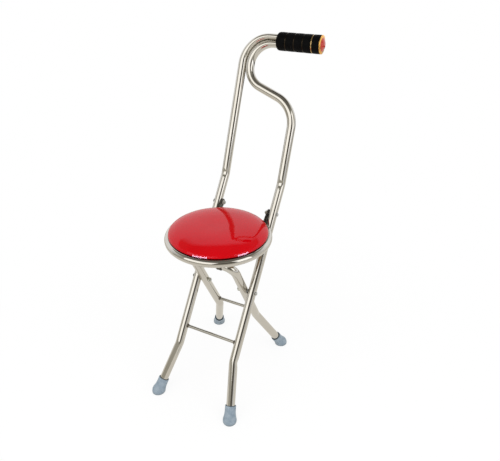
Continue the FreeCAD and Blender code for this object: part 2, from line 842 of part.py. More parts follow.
def lug():
    """A flat lug welded to the ring's outside, from under the ring up to the seat pivot, right side."""
    ring_back = root(size("ring_radius") * size("ring_radius") - lug_inside * lug_inside)
    weld_back = ring_back + size("lug_foot_out") + SEAT_CENTRE.y
    weld_height = size("ring_height") - size("lug_foot_drop")
    run = measure(SEAT_PIVOT.y) - weld_back
    climb = size("seat_pivot_height") - weld_height
    length = root(run * run + climb * climb)
    wide = size("lug_pivot_radius")
    narrow = size("lug_ring_radius")
    sink = (wide - narrow) / length
    flank = root(measure(1) - sink * sink)
    body = new_body("lug")
    sketch = new_sketch(body, "XZ_Plane")
    outline(sketch, (-narrow * sink, -narrow * flank), [
        ("line", length - wide * sink, -wide * flank),
        ("arc", length + wide, ZERO, wide, 1),
        ("arc", length - wide * sink, wide * flank, wide, 1),
        ("line", -narrow * sink, narrow * flank),
        ("arc", -narrow, ZERO, narrow, 1),
        ("arc", -narrow * sink, -narrow * flank, narrow, 1),
    ])
    circle(sketch, length, ZERO, bolt_hole)
    pad(body, sketch, size("lug_thickness"))
    weld = Vector(lug_inside.number, weld_back.number, weld_height.number)
    turn = Rotation(Vector(0, run.number, climb.number), Vector(-1, 0, 0), Vector(), "XYZ")
    body.Placement = Placement(weld, turn)
    return cut("lug_fitted", body, ring_form)


right_lug = lug()
finish(right_lug, "seat_lug_right")
finish(mirrored("lug_left", right_lug), "seat_lug_left")


def clip():
    """A saddle over the crossbar, open backwards and down, on a web with a flange under the board."""
    body = new_body("clip")
    sketch = new_sketch(body, "YZ_Plane")
    inner = size("leg_tube_radius") + size("clip_gap")
    sheet_metal = size("clip_thickness")
    outer = inner + sheet_metal
    half = sheet_metal / 2
    top = board_bottom - size("crossbar_height")
    back_end = size("clip_mouth_angle")
    front_end = back_end + 180
    web_foot = root(outer * outer - half * half)
    flange = -size("clip_flange_length")
    outline(sketch, (inner * cosine(back_end), inner * sine(back_end)), [
        ("line", outer * cosine(back_end), outer * sine(back_end)),
        ("arc", half, web_foot, outer, 1),
        ("line", half, top),
        ("line", flange, top),
        ("line", flange, top - sheet_metal),
        ("line", -half, top - sheet_metal),
        ("line", -half, web_foot),
        ("arc", -outer, ZERO, outer, 1),
        ("arc", outer * cosine(front_end), outer * sine(front_end), outer, 1),
        ("line", inner * cosine(front_end), inner * sine(front_end)),
        ("arc", -inner, ZERO, inner, -1),
        ("arc", ZERO, inner, inner, -1),
        ("arc", inner * cosine(back_end), inner * sine(back_end), inner, -1),
    ])
    pad(body, sketch, size("clip_width"), both_ways=True)
    body.Placement.Base = Vector(mm("clip_offset"), HOOP_CORNER.y, mm("crossbar_height"))
    hole_place = Placement(Vector(mm("clip_offset"), clip_screw_back.number, 0), Rotation())
    hole = cylinder("clip_hole", screw_hole, ring_top, hole_place)
    return cut("clip_right", body, hole)


right_clip = clip()
finish(group("clip_pair", [right_clip, mirrored("clip_left", right_clip)]), "crossbar_clips")
clip_screw_low = board_bottom - size("clip_thickness")
clip_screw_point = Vector(mm("clip_offset"), clip_screw_back.number, clip_screw_low.number)
clip_screw = screw("clip_screw", size("clip_thickness"), clip_screw_point)
finish(group("clip_screw_pair", [clip_screw, mirrored("clip_screw_left", clip_screw)]), "crossbar_clip_screws")


# Hand grip round the two pressed tube ends
def grip_sleeve():
    """A turned sleeve with band grooves, bored oval for each tube end and round for the lens stem."""
    body = new_body("grip")
    sketch = new_sketch(body, "XZ_Plane")
    length = size("grip_length")
    radius = size("grip_radius")
    rounding = size("grip_end_round")
    floor = radius - size("band_groove_depth")
    width = size("band_width")
    moves = [("line", length, ZERO), ("line", length, radius)]
    for index in reversed(range(BAND_COUNT)):
        start = size("band_start") + size("band_pitch") * index
        moves.append(("line", start + width, radius))
        moves.append(("line", start + width, floor))
        moves.append(("line", start, floor))
        moves.append(("line", start, radius))
    moves.append(("line", rounding, radius))
    moves.append(("arc", ZERO, radius - rounding, rounding, 1))
    moves.append(("line", ZERO, ZERO))
    outline(sketch, (ZERO, ZERO), moves)
    revolve(body, sketch, "H_Axis")
    body.Placement = grip_place()
    return body


def grip_place():
    """Along X from the grip's rounded end, turned so that its height follows the upper tubes."""
    sideways = heading(90).cross(heading(0))
    turn = Rotation(Vector(1, 0, 0), sideways, UPPER, "XZY")
    return Placement(GRIP_AXIS + Vector(mm("grip_start"), 0, 0), turn)


def grip_bores():
    """The two oval bores as tools, with their clearance, and the round bore for the lens stem."""
    gap = size("grip_bore_gap")
    tools = []
    for side in (1, -1):
        oval = document.addObject("Part::Ellipse", f"bore_oval_{side + 2}")
        oval.setExpression("MajorRadius", (size("oval_half_width") + gap).text)
        oval.setExpression("MinorRadius", (size("oval_half_height") + gap).text)
        turn = Rotation(heading(0).cross(UPPER), UPPER, heading(0), "ZXY")
        place = upper_point(mm("grip_start") - 1.0, mm("grip_reach") + side * OVAL_OFFSET)
        oval.Placement = Placement(place, turn)
        bore = document.addObject("Part::Extrusion", f"bore_{side + 2}")
        bore.Base = oval
        bore.DirMode = "Custom"
        bore.Dir = Vector(1, 0, 0)
        bore.setExpression("LengthFwd", (tube_reach() + 1.0 + gap).text)
        bore.Solid = True
        tools.append(bore)
    stem_depth = size("lens_stem_length") + gap
    stem_start = size("grip_start") + size("grip_length") - stem_depth
    place = turned(Vector(1, 0, 0), GRIP_AXIS + Vector(stem_start.number, 0, 0))
    tools.append(cylinder("stem_bore", size("lens_stem_radius") + gap, stem_depth + 1.0, place))
    return fuse("grip_bores", tools)


def tube_reach():
    """How far the longer tube end reaches into the grip from the grip's rounded end."""
    crook_across = size("crook_radius") - size("side_tube_offset")
    neck_across = size("tube_passing_gap") + size("leg_tube_radius") * 2 + size("return_radius")
    neck_across = neck_across - size("side_tube_offset")
    farthest = neck_across if neck_across.number > crook_across.number else crook_across
    return farthest + size("oval_length") - size("grip_start")


finish(cut("grip_bored", grip_sleeve(), grip_bores()), "grip_sleeve")


def grip_band():
    """A thin metal band in the first groove."""
    body = new_body("band")
    sketch = new_sketch(body, "XZ_Plane")
    low = size("grip_radius") - size("band_groove_depth")
    high = size("grip_radius") - size("band_inset")
    start = size("band_start")
    end = start + size("band_width")
    outline(sketch, (start, low), [
        ("line", end, low),
        ("line", end, high),
        ("line", start, high),
        ("line", start, low),
    ])
    revolve(body, sketch, "H_Axis")
    body.Placement = grip_place()
    return body


band = grip_band()
steps = [Placement(Vector(mm("band_pitch") * index, 0, 0), Rotation()) for index in range(BAND_COUNT)]
bands = [copy_at(f"band{index}", band, place) for index, place in enumerate(steps)]
finish(group("band_set", bands), "grip_bands")


def grip_bezel():
    """The metal ring round the lens, with a lip that holds the lens's edge."""
    body = new_body("bezel")
    sketch = new_sketch(body, "XZ_Plane")
    start = size("grip_length")
    end = start + size("bezel_width")
    rim = size("grip_radius")
    bore = size("lens_radius") + size("grip_bore_gap")
    outline(sketch, (start, bore), [
        ("line", end, bore),
        ("line", end, bore + size("bezel_lip")),
        ("line", start + size("bezel_edge"), rim),
        ("line", start, rim),
        ("line", start, bore),
    ])
    revolve(body, sketch, "H_Axis")
    body.Placement = grip_place()
    return body


def end_lens():
    """A domed reflector lens with a stem that plugs the sleeve's end."""
    body = new_body("lens")
    sketch = new_sketch(body, "XZ_Plane")
    seat = size("grip_length")
    edge = seat + size("bezel_width")
    rim = size("lens_radius")
    rise = size("lens_rise")
    dome = (rim * rim + rise * rise) / (rise * 2)
    stem = size("lens_stem_radius")
    outline(sketch, (seat - size("lens_stem_length"), ZERO), [
        ("line", seat - size("lens_stem_length"), stem),
        ("line", seat, stem),
        ("line", seat, rim),
        ("line", edge, rim),
        ("arc", edge + rise, ZERO, dome, -1),
        ("line", seat - size("lens_stem_length"), ZERO),
    ])
    revolve(body, sketch, "H_Axis")
    body.Placement = grip_place()
    return body


finish(grip_bezel(), "grip_bezel")
finish(end_lens(), "grip_end_lens")


def check_document():
    """Stop if any object failed or any sub-part is empty or invalid."""
    document.recompute()
    for item in document.Objects:
        if "Invalid" in item.State or "Error" in item.State:
            raise RuntimeError(f"{item.Name} is in state {item.State}")
    for piece in FINISHED:
        if piece.Shape.isNull() or not piece.Shape.isValid() or not piece.Shape.Solids:
            raise RuntimeError(f"{piece.Label} has no valid solid")


def write_parts():
    os.makedirs("parts", exist_ok=True)
    for piece in FINISHED:
        piece.Shape.exportStep(f"parts/{piece.Label}.step")
        print(f"{piece.Label}: {len(piece.Shape.Solids)} solids, {piece.Shape.Volume:.0f} mm3")


check_document()
write_parts()
print(f"seat pivot at y {SEAT_PIVOT.y:.3f}, z {SEAT_PIVOT.z:.3f}")
print(f"leg pivot at y {LEG_PIVOT.y:.3f}, z {LEG_PIVOT.z:.3f}")
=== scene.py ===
# %% [markdown]
# # A folding stick stool, dressed for its picture
# The wood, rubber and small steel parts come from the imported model, and this script never moves them. It gives
# each of them a finish. It also makes again what a solid modeller leaves a little too perfect or too coarse:
# the bent and polished tubes, the weld beads, the stuffed seat and the moulded grip. Everything is in metres,
# with +Z up, in the model's own frame.

# %% Load the stool
import bmesh
import bpy
from math import cos, pi, radians, sin, tan
from mathutils import Matrix, Vector, noise


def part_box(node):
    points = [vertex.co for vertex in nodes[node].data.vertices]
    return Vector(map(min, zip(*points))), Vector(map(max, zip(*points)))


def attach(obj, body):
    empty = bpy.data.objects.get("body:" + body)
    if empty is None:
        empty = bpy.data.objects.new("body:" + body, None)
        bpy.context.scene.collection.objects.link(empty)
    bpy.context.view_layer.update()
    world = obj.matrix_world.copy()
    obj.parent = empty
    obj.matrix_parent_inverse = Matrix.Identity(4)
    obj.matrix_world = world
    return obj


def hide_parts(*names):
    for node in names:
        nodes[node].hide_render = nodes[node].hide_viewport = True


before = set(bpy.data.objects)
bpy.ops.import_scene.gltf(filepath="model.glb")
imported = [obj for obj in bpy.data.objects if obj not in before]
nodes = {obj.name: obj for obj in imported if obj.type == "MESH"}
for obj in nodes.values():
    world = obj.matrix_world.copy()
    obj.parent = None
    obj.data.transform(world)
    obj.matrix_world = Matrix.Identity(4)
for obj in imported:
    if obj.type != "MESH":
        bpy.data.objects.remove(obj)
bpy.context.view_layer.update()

# %% [markdown]
# ## The camera
# The picture was taken from in front, a little to the right and from above seat height. The stool's frame is
# symmetrical, so its lines give the camera's place and its lens. The camera turns by its heading round Z,
# then looks down, and at last rolls by a hair. A matrix for each turn keeps their order plain to read.

# %% Camera
PICTURE_WIDTH = 500
FOCAL_PIXELS = 495.59
SENSOR = 36.0
CAMERA_PLACE = (0.53508, -0.96395, 1.03283)
CAMERA_TURN = 0.46930
CAMERA_DIP = 0.51832
CAMERA_ROLL = 0.00274

camera_data = bpy.data.cameras.new("camera")
camera_data.sensor_width = SENSOR
camera_data.lens = SENSOR * FOCAL_PIXELS / PICTURE_WIDTH
camera = bpy.data.objects.new("camera", camera_data)
bpy.context.scene.collection.objects.link(camera)
heading = Matrix.Rotation(CAMERA_TURN, 4, "Z")
look_down = Matrix.Rotation(pi / 2 - CAMERA_DIP, 4, "X")
roll = Matrix.Rotation(CAMERA_ROLL, 4, "Z")
camera.matrix_world = Matrix.Translation(CAMERA_PLACE) @ heading @ look_down @ roll
bpy.context.scene.camera = camera
print("lens", round(camera_data.lens, 2), "mm")

# %% [markdown]
# ## The studio
# Polished tube shows its room more than itself, so the room is designed first. The bright core of each tube is
# a softbox, the dark line beside it is the gap between the two softboxes, where the camera stands, and the
# warm grey is the floor. The world gives a weak even light. What a mirror sees of it is painted by direction:
# a white wall behind the stool, a darker one below the softboxes, and a grey ceiling. Each wall is a ramp over
# the bearing, as a share of the full turn in which 0.5 is the camera's side. The camera itself sees plain white.
#
# Two bright lamps stand low in front. They reach the red cover alone, and only as reflections, which gives the
# two white streaks on its rim and leaves the steel and the floor as they are.

# %% Studio helpers
world = bpy.data.worlds.new("studio")
bpy.context.scene.world = world
world.use_nodes = True
bpy.context.scene.view_settings.view_transform = "Standard"


def joined(tree, kind, *inputs, **settings):
    """Adds a shader node, sets its options, and fills or links its inputs in order."""
    node = tree.nodes.new(kind)
    for option, value in settings.items():
        setattr(node, option, value)
    for socket, value in zip(node.inputs, inputs):
        if isinstance(value, bpy.types.NodeSocket):
            tree.links.new(value, socket)
        elif value is not None:
            socket.default_value = value
    return node


def maths(tree, operation, *values):
    """One sum on shader values."""
    return joined(tree, "ShaderNodeMath", *values, operation=operation).outputs[0]


def stepped(tree, value, *stops):
    """A value read through a ramp: each stop is (place, brightness or colour)."""
    ramp = joined(tree, "ShaderNodeValToRGB", value)
    marks = ramp.color_ramp.elements
    while len(marks) < len(stops):
        marks.new(0.5)
    for mark, (place, shade) in zip(marks, stops):
        mark.position = place
        mark.color = (*shade, 1.0) if isinstance(shade, tuple) else (shade, shade, shade, 1.0)
    return ramp.outputs["Color"]


# %% What mirrors see of the room
CAMERA_HEADING = radians(-61)
DARK_WALL = (0.44, 0.42, 0.36)
CEILING = (0.30, 0.29, 0.245)
GAP = (0.11, 0.10, 0.085)
DARK_ROOF = (0.17, 0.16, 0.14)
ROOM_LIGHT = 0.74

sky = world.node_tree
sky.nodes.clear()
direction = joined(sky, "ShaderNodeTexCoord").outputs["Generated"]
towards_camera = joined(sky, "ShaderNodeVectorMath", direction, (cos(CAMERA_HEADING), sin(CAMERA_HEADING), 0),
                        operation="DOT_PRODUCT").outputs["Value"]
to_the_right = joined(sky, "ShaderNodeVectorMath", direction, (-sin(CAMERA_HEADING), cos(CAMERA_HEADING), 0),
                      operation="DOT_PRODUCT").outputs["Value"]
bearing = maths(sky, "ARCTAN2", to_the_right, towards_camera)
round_share = maths(sky, "MULTIPLY_ADD", bearing, 0.5 / pi, 0.5)
height = joined(sky, "ShaderNodeSeparateXYZ", direction).outputs["Z"]
high_share = maths(sky, "MULTIPLY_ADD", height, 0.5, 0.5)
low_walls = stepped(sky, round_share, (0.20, 1.0), (0.24, DARK_WALL), (0.575, DARK_WALL), (0.60, 0.75),
                    (0.78, 0.8), (0.83, 1.0))
high_walls = stepped(sky, round_share, (0.17, 1.0), (0.21, 0.75), (0.28, DARK_WALL), (0.455, DARK_WALL),
                     (0.468, GAP), (0.60, GAP), (0.615, DARK_WALL), (0.72, DARK_WALL), (0.80, 0.85), (0.84, 1.0))
roof = stepped(sky, round_share, (0.05, 1.0), (0.10, CEILING), (0.89, CEILING), (0.94, 1.0))
walls = joined(sky, "ShaderNodeMixRGB", stepped(sky, high_share, (0.56, 0.0), (0.60, 1.0)), low_walls, high_walls)
roofs = joined(sky, "ShaderNodeMixRGB", stepped(sky, high_share, (0.885, 0.0), (0.92, 1.0)), roof, (*DARK_ROOF, 1))
seen_in_mirror = joined(sky, "ShaderNodeMixRGB", stepped(sky, high_share, (0.81, 0.0), (0.83, 1.0)),
                        walls.outputs["Color"], roofs.outputs["Color"])
rays = joined(sky, "ShaderNodeLightPath").outputs
mirror_ray = maths(sky, "MAXIMUM", rays["Is Glossy Ray"], rays["Is Transmission Ray"])
room = joined(sky, "ShaderNodeMixRGB", mirror_ray, (ROOM_LIGHT, ROOM_LIGHT, ROOM_LIGHT, 1),
              seen_in_mirror.outputs["Color"])
background = joined(sky, "ShaderNodeMixRGB", rays["Is Camera Ray"], room.outputs["Color"], (1, 1, 1, 1))
light = joined(sky, "ShaderNodeBackground", background.outputs["Color"], 1.0)
joined(sky, "ShaderNodeOutputWorld", light.outputs[0])
print("studio world has", len(sky.nodes), "nodes")


# %% Softboxes
SEAT_MIDDLE = Vector((0, 0, 0.45))


def softbox(name, to_right, up, distance, width, tall, brightness):
    """A flat lamp that faces the seat, its place in degrees from the camera; a mirror shows its brightness."""
    turned = CAMERA_HEADING + radians(to_right)
    raised = radians(up)
    lamp = bpy.data.lights.new(name, "AREA")
    lamp.shape = "RECTANGLE"
    lamp.size = width
    lamp.size_y = tall
    lamp.energy = brightness * pi * width * tall
    box = bpy.data.objects.new(name, lamp)
    bpy.context.scene.collection.objects.link(box)
    outward = Vector((cos(turned) * cos(raised), sin(turned) * cos(raised), sin(raised)))
    box.location = SEAT_MIDDLE + outward * distance
    box.rotation_euler = outward.to_track_quat("Z", "Y").to_euler()
    print(name, "at", [round(c, 2) for c in box.location])
    return box


softbox("softbox_left", to_right=-40, up=31, distance=2.1, width=2.3, tall=1.6, brightness=1.05)
softbox("softbox_right", to_right=50, up=31, distance=1.6, width=0.85, tall=1.2, brightness=1.2)
kickers = [softbox("kicker_left", to_right=-37, up=-4, distance=1.3, width=0.70, tall=0.80, brightness=27.0),
           softbox("kicker_right", to_right=49, up=-4, distance=1.3, width=0.56, tall=0.80, brightness=25.0)]

# %% [markdown]
# ## The floor
# The stool stands on a white sweep. The floor is a plain sheet that catches a faint shadow near the stool; its
# own glow for camera and mirror rays carries the white, so no lamp has to be turned up for it. The mirrors see
# it a little warmer, and see its far edge as a dark line.

# %% Floor sheet
FLOOR_RADIUS = 4.5
FLOOR_DROP = 0.0004

floor_mesh = bmesh.new()
bmesh.ops.create_circle(floor_mesh, cap_ends=True, segments=64, radius=FLOOR_RADIUS,
                        matrix=Matrix.Translation((0, 0, -FLOOR_DROP)))
floor_data = bpy.data.meshes.new("floor")
floor_mesh.to_mesh(floor_data)
floor_mesh.free()
floor = bpy.data.objects.new("floor", floor_data)
bpy.context.scene.collection.objects.link(floor)
print("floor", round(floor.dimensions.x, 1), "m across")

# %% White sweep
SHADOW_DEPTH = 0.9

sweep = bpy.data.materials.new("white_sweep")
sweep.use_nodes = True
paper = sweep.node_tree
paper.nodes.clear()
spot = joined(paper, "ShaderNodeTexCoord").outputs["Object"]
away = joined(paper, "ShaderNodeVectorMath", spot, operation="LENGTH").outputs["Value"]
shadow_share = stepped(paper, away, (0.30, 0.16), (0.85, 0.0))
in_mirror = stepped(paper, maths(paper, "DIVIDE", away, FLOOR_RADIUS), (0.60, (0.80, 0.77, 0.70)),
                    (0.65, (0.10, 0.09, 0.07)))
kinds = joined(paper, "ShaderNodeLightPath").outputs
seen = maths(paper, "MAXIMUM", kinds["Is Camera Ray"],
             maths(paper, "MAXIMUM", kinds["Is Glossy Ray"], kinds["Is Transmission Ray"]))
lit_share = joined(paper, "ShaderNodeMixRGB", seen, (0.8, 0.8, 0.8, 1), shadow_share).outputs["Color"]
shown = joined(paper, "ShaderNodeMixRGB", kinds["Is Camera Ray"], in_mirror, (1, 1, 1, 1)).outputs["Color"]
lit = joined(paper, "ShaderNodeBsdfDiffuse", lit_share)
shade = maths(paper, "MULTIPLY", shadow_share, SHADOW_DEPTH)
glow_share = maths(paper, "MULTIPLY", seen, maths(paper, "SUBTRACT", 1.0, shade))
glow = joined(paper, "ShaderNodeEmission", shown, glow_share)
both = joined(paper, "ShaderNodeAddShader", lit.outputs[0], glow.outputs[0])
joined(paper, "ShaderNodeOutputMaterial", both.outputs[0])
floor_data.materials.append(sweep)
print("white sweep has", len(paper.nodes), "nodes")


# %% [markdown]
# ## How a finish is built
# Real surfaces are never one even colour. Each finish below starts from the usual shader and adds patterns
# that are measured in the object's own metres: a slow drift of colour, a finer one of gloss, and a fine relief.

# %% Finish helpers
def start_finish(name, roughness, metallic=0.0):
    """A new material with its shader and the piece's own coordinates."""
    material = bpy.data.materials.new(name)
    material.use_nodes = True
    shader = material.node_tree.nodes["Principled BSDF"]
    shader.inputs["Roughness"].default_value = roughness
    shader.inputs["Metallic"].default_value = metallic
    where = joined(material.node_tree, "ShaderNodeTexCoord").outputs["Object"]
    return material, shader, where


def grain(tree, where, scale, detail=3.0, stretch=(1, 1, 1)):
    """Soft cloudy noise, stretched along an axis by a small factor there."""
    if stretch != (1, 1, 1):
        where = joined(tree, "ShaderNodeMapping", where, None, None, stretch).outputs[0]
    cloud = joined(tree, "ShaderNodeTexNoise")
    tree.links.new(where, cloud.inputs["Vector"])
    cloud.inputs["Scale"].default_value = scale
    cloud.inputs["Detail"].default_value = detail
    return cloud.outputs["Fac"]


def drift(tree, shader, pattern, socket, *stops):
    """Sends a pattern through a ramp into one of the shader's sockets."""
    tree.links.new(stepped(tree, pattern, *stops), shader.inputs[socket])


def relief(tree, shader, pattern, depth, strength=1.0, under=None):
    """A bump from a pattern, depth in metres; it may lie on another bump."""
    bump = joined(tree, "ShaderNodeBump")
    bump.inputs["Strength"].default_value = strength
    bump.inputs["Distance"].default_value = depth
    tree.links.new(pattern, bump.inputs["Height"])
    if under is not None:
        tree.links.new(under, bump.inputs["Normal"])
    tree.links.new(bump.outputs["Normal"], shader.inputs["Normal"])
    return bump.outputs["Normal"]


def dress(finish, *names):
    """Puts a finish on CAD nodes."""
    for name in names:
        data = nodes[name].data
        data.materials.clear()
        data.materials.append(finish)
    print(finish.name, "on", ", ".join(names))


# %% [markdown]
# ## Polished steel
# The frame is thin stainless tube, ground and buffed after bending. Buffing leaves a mirror with faint cloudy
# smears, a slight waver along the tube and a very fine grain. A warm grey mirror with a slow drift of colour
# and gloss, and two soft reliefs, gives that without looking like glass.

# %% Polished steel
polished, steel, where = start_finish("polished_steel", 0.08, 1.0)
tree = polished.node_tree
drift(tree, steel, grain(tree, where, 9.0), "Base Color", (0.3, (0.61, 0.58, 0.53)), (0.7, (0.66, 0.64, 0.60)))
drift(tree, steel, grain(tree, where, 55.0, 5.0), "Roughness", (0.35, 0.04), (0.75, 0.12))
waver = relief(tree, steel, grain(tree, where, 42.0, 1.0), 0.0004, 0.30)
relief(tree, steel, grain(tree, where, 900.0, 2.0), 0.00001, 0.2, under=waver)
print("polished steel has", len(tree.nodes), "nodes")


# %% [markdown]
# ## Making tubes the way a bender does
# A tube starts as one disc square to its first direction. Its open end is then drawn out along a straight, or
# turned round the centre of a former, exactly as the shop does it, so every bend is a true arc. The same
# corner points as in the model are followed, and each corner is rounded to its former's radius.

# %% Tube helpers
STRAIGHT_STEP = 0.006
ARC_STEP = 0.002


def begin_tube(start, direction, radius, sides=96):
    """A new mesh with the tube's first end, closed and square to its direction."""
    mesh = bmesh.new()
    square = direction.to_track_quat("Z", "Y").to_matrix().to_4x4()
    bmesh.ops.create_circle(mesh, cap_ends=True, segments=sides, radius=radius,
                            matrix=Matrix.Translation(start) @ square)
    return mesh, mesh.edges[:]


def open_end(made):
    """The edges of the end that has just been made."""
    return [part for part in made if isinstance(part, bmesh.types.BMEdge) and part.is_boundary]


def corners_of(ring):
    """The points of an end."""
    return list({corner for edge in ring for corner in edge.verts})


def draw_out(mesh, ring, travel, spacing=STRAIGHT_STEP):
    """Draws the end along a straight, with a ring of points every few millimetres."""
    parts = max(1, round(travel.length / spacing))
    for part in range(parts):
        ring = open_end(bmesh.ops.extrude_edge_only(mesh, edges=ring)["geom"])
        bmesh.ops.translate(mesh, verts=corners_of(ring), vec=travel / parts)
    return ring


def turn_round(mesh, ring, centre, axis, turn, steps):
    """Turns the end round a former's centre by an angle in radians."""
    made = bmesh.ops.spin(mesh, geom=ring + corners_of(ring), cent=centre, axis=axis, angle=turn, steps=steps,
                          use_duplicate=False)
    return open_end(made["geom_last"])


def follow(mesh, ring, points, radii):
    """Runs the end from the first point to the last, rounding each corner; returns the end and the bends' middles."""
    start = points[0]
    middles = []
    for corner, after, radius in zip(points[1:], points[2:], radii):
        along = (corner - start).normalized()
        onward = (after - corner).normalized()
        turn = along.angle(onward)
        bend_start = corner - along * radius * tan(turn / 2)
        ring = draw_out(mesh, ring, bend_start - start)
        axis = along.cross(onward).normalized()
        centre = bend_start + axis.cross(along) * radius
        ring = turn_round(mesh, ring, centre, axis, turn, max(6, round(turn * radius / ARC_STEP)))
        middles.append(((corner - centre).normalized(), centre, radius))
        start = corner + onward * radius * tan(turn / 2)
    return draw_out(mesh, ring, points[-1] - start), middles


def dent(mesh, middle, push, reach):
    """Pushes the wall in softly round a point, by the length of push."""
    for corner in mesh.verts:
        share = max(0.0, 1 - ((corner.co - middle).length / reach) ** 2)
        corner.co += push * share ** 2


def close_tube(mesh, ring):
    """Closes the last end with one face."""
    bmesh.ops.edgeloop_fill(mesh, edges=ring)


# %% [markdown]
# ## Turning a mesh into a piece
# Each finished mesh becomes one object that rides on a body of the model, keeps its place in its mesh and
# takes the finish it is given.

# %% Piece helper
def make_piece(mesh, name, finish, body):
    """Turns a worked mesh into a piece that rides on a body."""
    bmesh.ops.recalc_face_normals(mesh, faces=mesh.faces[:])
    for face in mesh.faces:
        face.smooth = True
    data = bpy.data.meshes.new(name)
    mesh.to_mesh(data)
    mesh.free()
    data.materials.append(finish)
    piece = bpy.data.objects.new(name, data)
    bpy.context.scene.collection.objects.link(piece)
    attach(piece, body)
    print(name, "has", len(data.polygons), "faces")
    return piece


# %% [markdown]
# ## The two side tubes
# Each long leg bends a little above its foot and again at the knee. Where a former has pressed the inside of a
# tight bend, the wall is slightly flattened, and polished steel shows that at once as crossing reflections.
# The left tube ends in one quarter bend. The right tube swings left in a long neck and bends back beside it.
# Both ends are pressed from round to oval so that they fit one above the other inside the grip.

# %% Lines of the side tubes
TUBE_RADIUS = 0.011
FOOT_GAP = 0.0135
FRONT_FOOT = Vector((0.1092, -0.23427, 0.0))
FOOT_BEND = Vector((0.081, -0.15939, 0.1226))
KNEE_BEND = Vector((0.081, 0.10581, 0.5066))
SIDE_BEND_RADIUS = 0.060
LEAN = radians(20.6)
ACROSS = Vector((1, 0, 0))
UPWARDS = Vector((0, sin(LEAN), cos(LEAN)))
OVAL_HALF_WIDTH = 0.0133
OVAL_HALF_HEIGHT = 0.0081
OVAL_LENGTH = 0.092
DENT_DEPTH = 0.0013
DENT_REACH = 0.0125


def upper_point(across, along):
    """A point in the plane of the upper tubes: across from the middle, along from the knee."""
    return ACROSS * across + Vector((0, KNEE_BEND.y, KNEE_BEND.z)) + UPWARDS * along


def heading_in_plane(degrees):
    """A direction in that plane: 0 points at the lens, 90 up the tubes."""
    return ACROSS * cos(radians(degrees)) + UPWARDS * sin(radians(degrees))


def on_side(point, side):
    """A point of the right side, or its mirror image on the left for side -1."""
    return Vector((point.x * side, point.y, point.z))


# %% Pressing a tube's end oval
def press_oval(mesh, ring, centre, radius, steps=18):
    """The last quarter bend to the right, pressed a little flatter at each step."""
    sideways = heading_in_plane(0).cross(UPWARDS)
    wide, tall = TUBE_RADIUS, TUBE_RADIUS
    for step in range(steps):
        share = (step + 1) / steps
        ring = turn_round(mesh, ring, centre, -sideways, pi / 2 / steps, 1)
        travel = 90 * (1 - share)
        middle = centre + heading_in_plane(travel + 90) * radius
        upright = Matrix((sideways, heading_in_plane(travel + 90), heading_in_plane(travel))).to_4x4()
        next_wide = TUBE_RADIUS + (OVAL_HALF_WIDTH - TUBE_RADIUS) * share
        next_tall = TUBE_RADIUS + (OVAL_HALF_HEIGHT - TUBE_RADIUS) * share
        bmesh.ops.scale(mesh, verts=corners_of(ring), vec=(next_wide / wide, next_tall / tall, 1),
                        space=upright @ Matrix.Translation(-middle))
        wide, tall = next_wide, next_tall
    return draw_out(mesh, ring, ACROSS * OVAL_LENGTH, spacing=0.02)


def lower_side(side, top):
    """The two lower bends of a side tube, up to a point above the knee."""
    foot = on_side(FRONT_FOOT, side)
    bend = on_side(FOOT_BEND, side)
    knee = on_side(KNEE_BEND, side)
    direction = (bend - foot).normalized()
    start = foot + direction * FOOT_GAP
    mesh, ring = begin_tube(start, direction, TUBE_RADIUS)
    ring, middles = follow(mesh, ring, [start, bend, knee, top], [SIDE_BEND_RADIUS, SIDE_BEND_RADIUS])
    for outward, centre, radius in middles:
        dent(mesh, centre + outward * (radius - TUBE_RADIUS), outward * DENT_DEPTH, DENT_REACH)
    return mesh, ring


# %% Left side tube
CROOK_CENTRE = upper_point(-0.0115, 0.28625)
CROOK_RADIUS = 0.0695
CROOK_START = upper_point(-0.081, 0.28625)

left_tube, end = lower_side(-1, CROOK_START)
end = press_oval(left_tube, end, CROOK_CENTRE, CROOK_RADIUS)
close_tube(left_tube, end)
left_piece = make_piece(left_tube, "bent_tube_left", polished, "long_frame")
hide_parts("side_tube_left")

# %% Right side tube
NECK_CENTRE = upper_point(0.005, 0.1426)
NECK_START = upper_point(0.081, 0.1426)
NECK_TURN = 70
NECK_RUN = 0.05707
RETURN_CENTRE = upper_point(-0.004, 0.28475)
RETURN_RADIUS = 0.0545

right_tube, end = lower_side(1, NECK_START)
plane = heading_in_plane(0).cross(UPWARDS)
end = turn_round(right_tube, end, NECK_CENTRE, plane, radians(NECK_TURN), steps=40)
end = draw_out(right_tube, end, heading_in_plane(90 + NECK_TURN) * NECK_RUN)
end = turn_round(right_tube, end, RETURN_CENTRE, -plane, radians(NECK_TURN), steps=32)
end = press_oval(right_tube, end, RETURN_CENTRE, RETURN_RADIUS)
close_tube(right_tube, end)
right_piece = make_piece(right_tube, "bent_tube_right", polished, "long_frame")
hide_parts("side_tube_right")
print("right tube ends", [round(c, 4) for c in right_piece.data.vertices[-1].co])

# %% [markdown]
# ## The rear leg hoop
# The short frame is one tube bent four times: out at each foot and over the crossbar under the seat. It stands
# between the two long legs and pivots on them.

# %% Rear leg hoop
REAR_FOOT = Vector((0.1078, 0.08913, 0.0))
REAR_BEND = Vector((0.058, 0.01421, 0.1432))
HOOP_CORNER = Vector((0.058, -0.10914, 0.370))
HOOP_FOOT_RADIUS = 0.050
HOOP_CORNER_RADIUS = 0.028

